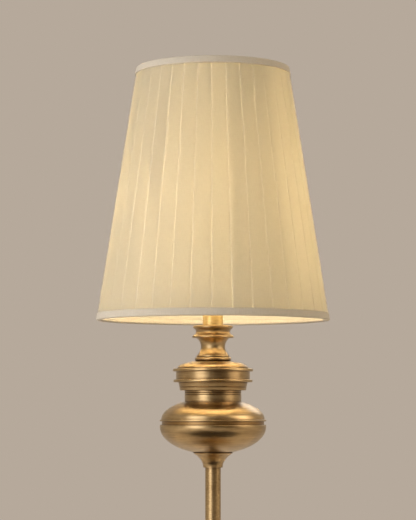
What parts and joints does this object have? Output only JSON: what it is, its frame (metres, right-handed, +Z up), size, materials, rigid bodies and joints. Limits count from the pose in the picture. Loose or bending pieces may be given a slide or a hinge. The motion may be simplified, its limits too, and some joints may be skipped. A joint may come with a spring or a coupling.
{
  "type": "table lamp with shade",
  "caption": "Table lamp with a tall pleated empire shade on a harp, over a turned brass urn body, slim stem and round weighted foot.",
  "frame": {"origin": "centre of the foot's underside, on the surface that the lamp stands on", "axes": "+Z up along the stem; the harp lies in the XZ plane; -Y is the front, where the switch key points, and the cord leaves at +Y"},
  "size_m": [0.2498, 0.2498, 0.622],
  "materials": {
    "felt": "dark green-black felt",
    "cast_weight": "raw cast iron",
    "brass": "satin antique brass with fine turning lines",
    "dark_brass": "darkened brass left in a recess",
    "bright_brass": "plated brass fittings",
    "steel": "zinc plated steel",
    "rubber": "black rubber grommet",
    "paper_sleeve": "brown pressboard insulating sleeve",
    "moulded_core": "dark moulded phenolic",
    "aluminium": "drawn aluminium",
    "white_wire": "off-white enamelled steel wire",
    "shade_lining": "smooth cream stiffened lining",
    "shade_fabric": "cream knife-pleated fabric, lets light through",
    "shade_tape": "cream folded edge tape",
    "bulb_glass": "soft white frosted glass",
    "clear_glass": "clear glass mount",
    "filament": "glowing filament and its supports",
    "black_glass": "black glass insulator of the screw cap"
  },
  "bodies": {
    "stand": {"felt_pad": "felt", "base_weight": "cast_weight", "base_cover": "brass", "cord_bush": "rubber", "base_washer": "steel", "base_nut": "steel", "foot_collar": "brass", "stem_tube": "brass", "threaded_rod": "steel", "flare": "brass", "flare_ring": "brass", "lower_bowl": "brass", "bowl_ring": "dark_brass", "upper_bowl": "brass", "neck_band": "brass", "step_ring": "brass", "drum_band": "brass", "dome_cap": "brass", "neck_spool": "brass", "candle_cup": "brass", "candle_tube": "brass", "tube_cap": "brass", "harp_saddle": "bright_brass", "lock_nut": "steel", "socket_cap": "bright_brass", "cap_screw": "steel", "socket_shell": "bright_brass", "socket_sleeve": "paper_sleeve", "socket_core": "moulded_core", "screw_shell": "aluminium", "centre_tab": "bright_brass", "terminal_screws": "bright_brass"},
    "switch": {"switch_shaft": "bright_brass", "switch_key": "moulded_core"},
    "bulb": {"bulb_glass": "bulb_glass", "bulb_mount": "clear_glass", "filament": "filament", "bulb_cap": "aluminium", "bulb_insulator": "black_glass", "bulb_contact": "steel"},
    "harp": {"harp": "bright_brass"},
    "ferrule_left": {"ferrule_left": "bright_brass"},
    "ferrule_right": {"ferrule_right": "bright_brass"},
    "harp_stud": {"harp_stud": "bright_brass"},
    "shade": {"spider_hub": "white_wire", "spider_arms": "white_wire", "top_ring": "white_wire", "bottom_ring": "white_wire", "shade_liner": "shade_lining", "shade_fabric": "shade_fabric", "top_tape": "shade_tape", "bottom_tape": "shade_tape"},
    "finial": {"finial": "brass"}
  },
  "joints": [
    {"name": "switch_turn", "type": "hinge", "parent": "stand", "child": "switch", "pos_m": [0, -0.01, 0.4216], "axis": [0, -1, 0], "continuous": true},
    {"name": "bulb_lift", "type": "slide", "parent": "stand", "child": "bulb", "axis": [0, 0, 1], "range_m": [0, 0.028]},
    {"name": "harp_lift", "type": "slide", "parent": "stand", "child": "harp", "axis": [0, 0, 1], "range_m": [0, 0.02]},
    {"name": "ferrule_left_slide", "type": "slide", "parent": "harp", "child": "ferrule_left", "axis": [0, 0, 1], "range_m": [0, 0.012]},
    {"name": "ferrule_right_slide", "type": "slide", "parent": "harp", "child": "ferrule_right", "axis": [0, 0, 1], "range_m": [0, 0.012]},
    {"name": "shade_swivel", "type": "hinge", "parent": "harp", "child": "harp_stud", "pos_m": [0, 0, 0.59], "axis": [0, 0, 1], "continuous": true},
    {"name": "shade_lift", "type": "slide", "parent": "harp_stud", "child": "shade", "axis": [0, 0, 1], "range_m": [0, 0.26]},
    {"name": "finial_lift", "type": "slide", "parent": "shade", "child": "finial", "axis": [0, 0, 1], "range_m": [0, 0.02]}
  ]
}
